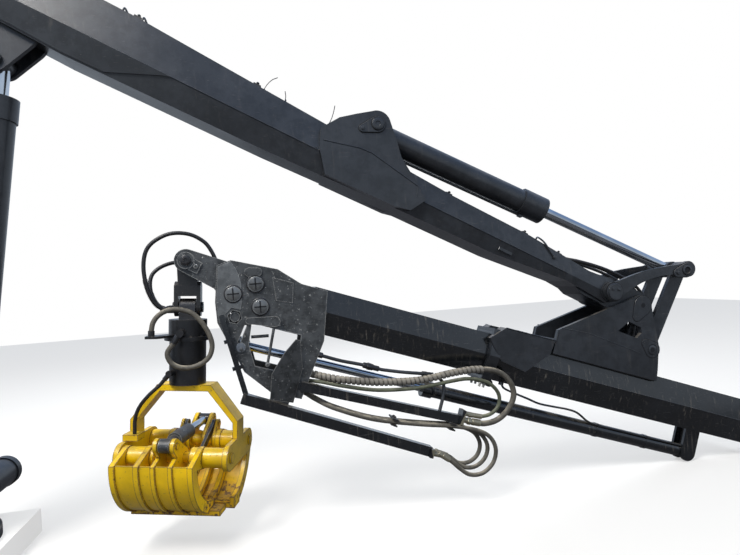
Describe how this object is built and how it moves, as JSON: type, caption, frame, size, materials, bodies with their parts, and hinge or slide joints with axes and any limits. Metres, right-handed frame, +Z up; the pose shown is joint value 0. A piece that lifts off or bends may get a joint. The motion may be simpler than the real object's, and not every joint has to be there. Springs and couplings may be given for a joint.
{
  "type": "forestry loader crane",
  "caption": "Folded knuckle-boom timber loader with pillar, main boom, linkage, telescopic stick, hanging rotator and yellow grapple.",
  "frame": {"origin": "centre of the base flange's underside, on the slewing axis", "axes": "+Z up along the slewing axis, +X along the folded boom from the pillar to the knuckle, +Y to the crane's left"},
  "size_m": [4.9172, 0.96, 3.0589],
  "materials": {
    "crane_paint": "satin black paint, dusty",
    "stick_paint": "gloss black paint with dust streaks",
    "worn_steel": "worn bare steel, scratched and oily",
    "pin_steel": "dark greased steel",
    "rod_chrome": "polished chrome",
    "greasy_iron": "greasy black cast iron",
    "grapple_yellow": "yellow paint worn to rust at the edges",
    "hose_black": "black rubber hose",
    "hose_dusty": "dusty rubber hose"
  },
  "bodies": {
    "base": {"base_flange": "crane_paint", "rack_cylinders": "crane_paint"},
    "pillar": {"pillar": "crane_paint"},
    "lift_barrel": {"lift_barrel": "crane_paint"},
    "lift_rod": {"lift_rod": "rod_chrome"},
    "boom": {"main_boom": "crane_paint", "hump_bracket": "crane_paint", "boom_pipes": "hose_black"},
    "stick_barrel": {"stick_barrel": "crane_paint"},
    "stick_rod": {"stick_rod": "rod_chrome"},
    "rocker": {"rocker_arms": "crane_paint"},
    "coupler": {"coupler_links": "crane_paint"},
    "stick": {"stick_box": "stick_paint", "stick_bracket": "crane_paint", "mouth_collar": "crane_paint", "telescope_barrel": "stick_paint"},
    "extension": {"extension_beam": "stick_paint", "tip_plates": "worn_steel", "tip_plugs": "pin_steel", "tip_arm": "worn_steel", "telescope_rod": "rod_chrome", "hose_tubes": "stick_paint", "hose_guide": "stick_paint", "port_block": "pin_steel", "tip_guard": "worn_steel", "tip_latch": "worn_steel", "low_hose_a": "hose_dusty", "low_hose_b": "hose_dusty", "low_hose_c": "hose_dusty", "guarded_loop": "hose_dusty", "inner_loop": "hose_dusty"},
    "hanging_link": {"hanging_link": "greasy_iron"},
    "rotator": {"rotator_body": "greasy_iron", "rotator_loop": "hose_dusty"},
    "grapple": {"rotator_foot": "greasy_iron", "grapple_frame": "grapple_yellow", "grapple_loop": "hose_black"},
    "near_tine": {"near_tine": "grapple_yellow"},
    "far_tine": {"far_tine": "grapple_yellow"},
    "grapple_barrel": {"grapple_barrel": "worn_steel"},
    "grapple_rod": {"grapple_rod": "rod_chrome"},
    "grapple_links": {"grapple_links": "worn_steel"}
  },
  "joints": [
    {"name": "slew", "type": "hinge", "parent": "base", "child": "pillar", "pos_m": [0, 0, 0.42], "axis": [0, 0, 1], "range_deg": [-190, 190]},
    {"name": "boom_lift", "type": "hinge", "parent": "pillar", "child": "boom", "pos_m": [0, 0, 2.83], "axis": [0, -1, 0], "range_deg": [-8, 90]},
    {"name": "lift_barrel_swing", "type": "hinge", "parent": "pillar", "child": "lift_barrel", "pos_m": [0.25, 0, 0.56], "axis": [0, -1, 0], "range_deg": [-0.38, 1.2]},
    {"name": "lift_rod_slide", "type": "slide", "parent": "lift_barrel", "child": "lift_rod", "axis": [0.1369, 0, 0.9906], "range_m": [-0.10544, 1.08373]},
    {"name": "stick_fold", "type": "hinge", "parent": "boom", "child": "stick", "pos_m": [3.76292, 0, 0.85442], "axis": [0, -1, 0], "range_deg": [0, 170]},
    {"name": "rocker_swing", "type": "hinge", "parent": "boom", "child": "rocker", "pos_m": [3.56125, 0, 0.94788], "axis": [0, -1, 0], "range_deg": [0, 106.3]},
    {"name": "coupler_swing", "type": "hinge", "parent": "stick", "child": "coupler", "pos_m": [3.80649, 0, 0.59404], "axis": [0, -1, 0], "range_deg": [-84.21, 0]},
    {"name": "stick_barrel_swing", "type": "hinge", "parent": "boom", "child": "stick_barrel", "pos_m": [2.25488, 0, 1.90593], "axis": [0, -1, 0], "range_deg": [0, 0.805]},
    {"name": "stick_rod_slide", "type": "slide", "parent": "stick_barrel", "child": "stick_rod", "axis": [0.9032, 0, -0.4293], "range_m": [-0.82348, 0]},
    {"name": "telescope", "type": "slide", "parent": "stick", "child": "extension", "axis": [-0.9455, 0, 0.3256], "range_m": [-0.68, 0.4]},
    {"name": "link_swing", "type": "hinge", "parent": "extension", "child": "hanging_link", "pos_m": [1.2664, 0, 1.26138], "axis": [0, -1, 0], "range_deg": [-170.5, 0]},
    {"name": "side_swing", "type": "hinge", "parent": "hanging_link", "child": "rotator", "pos_m": [1.25036, 0, 1.03194], "axis": [0.9976, 0, -0.0698], "range_deg": [-20, 20]},
    {"name": "rotator_turn", "type": "hinge", "parent": "rotator", "child": "grapple", "pos_m": [1.24045, 0, 0.89029], "axis": [0.0698, 0, 0.9976], "continuous": true},
    {"name": "tines_open", "type": "hinge", "parent": "grapple", "child": "near_tine", "pos_m": [1.16266, -0.14489, 0.33436], "axis": [-0.9636, 0.2588, 0.0674], "range_deg": [0, 50]},
    {"name": "far_tine_open", "type": "hinge", "parent": "grapple", "child": "far_tine", "pos_m": [1.24012, 0.14489, 0.32894], "axis": [0.9636, -0.2588, -0.0674], "range_deg": [0, 50.5]},
    {"name": "grapple_barrel_swing", "type": "hinge", "parent": "near_tine", "child": "grapple_barrel", "pos_m": [1.14354, -0.23738, 0.41624], "axis": [-0.9636, 0.2588, 0.0674], "range_deg": [-50.5, 0]},
    {"name": "grapple_rod_slide", "type": "slide", "parent": "grapple_barrel", "child": "grapple_rod", "axis": [0.2582, 0.9659, -0.0181], "range_m": [-0.19451, 0]},
    {"name": "grapple_links_swing", "type": "hinge", "parent": "near_tine", "child": "grapple_links", "pos_m": [1.16633, -0.11223, 0.26142], "axis": [-0.9636, 0.2588, 0.0674], "range_deg": [-50.5, 0]}
  ],
  "couplings": [
    {"joint": "lift_barrel_swing", "follows": "boom_lift", "ratio": 0.009968},
    {"joint": "lift_rod_slide", "follows": "boom_lift", "m_per_rad": 0.68356},
    {"joint": "rocker_swing", "follows": "stick_fold", "ratio": 0.62234},
    {"joint": "coupler_swing", "follows": "stick_fold", "ratio": -0.4924},
    {"joint": "stick_barrel_swing", "follows": "stick_fold", "ratio": 0.001795},
    {"joint": "stick_rod_slide", "follows": "stick_fold", "m_per_rad": -0.27417},
    {"joint": "link_swing", "follows": "stick_fold", "ratio": -1},
    {"joint": "far_tine_open", "follows": "tines_open", "ratio": 1},
    {"joint": "grapple_barrel_swing", "follows": "tines_open", "ratio": -1},
    {"joint": "grapple_rod_slide", "follows": "tines_open", "m_per_rad": -0.21946},
    {"joint": "grapple_links_swing", "follows": "tines_open", "ratio": -1}
  ]
}
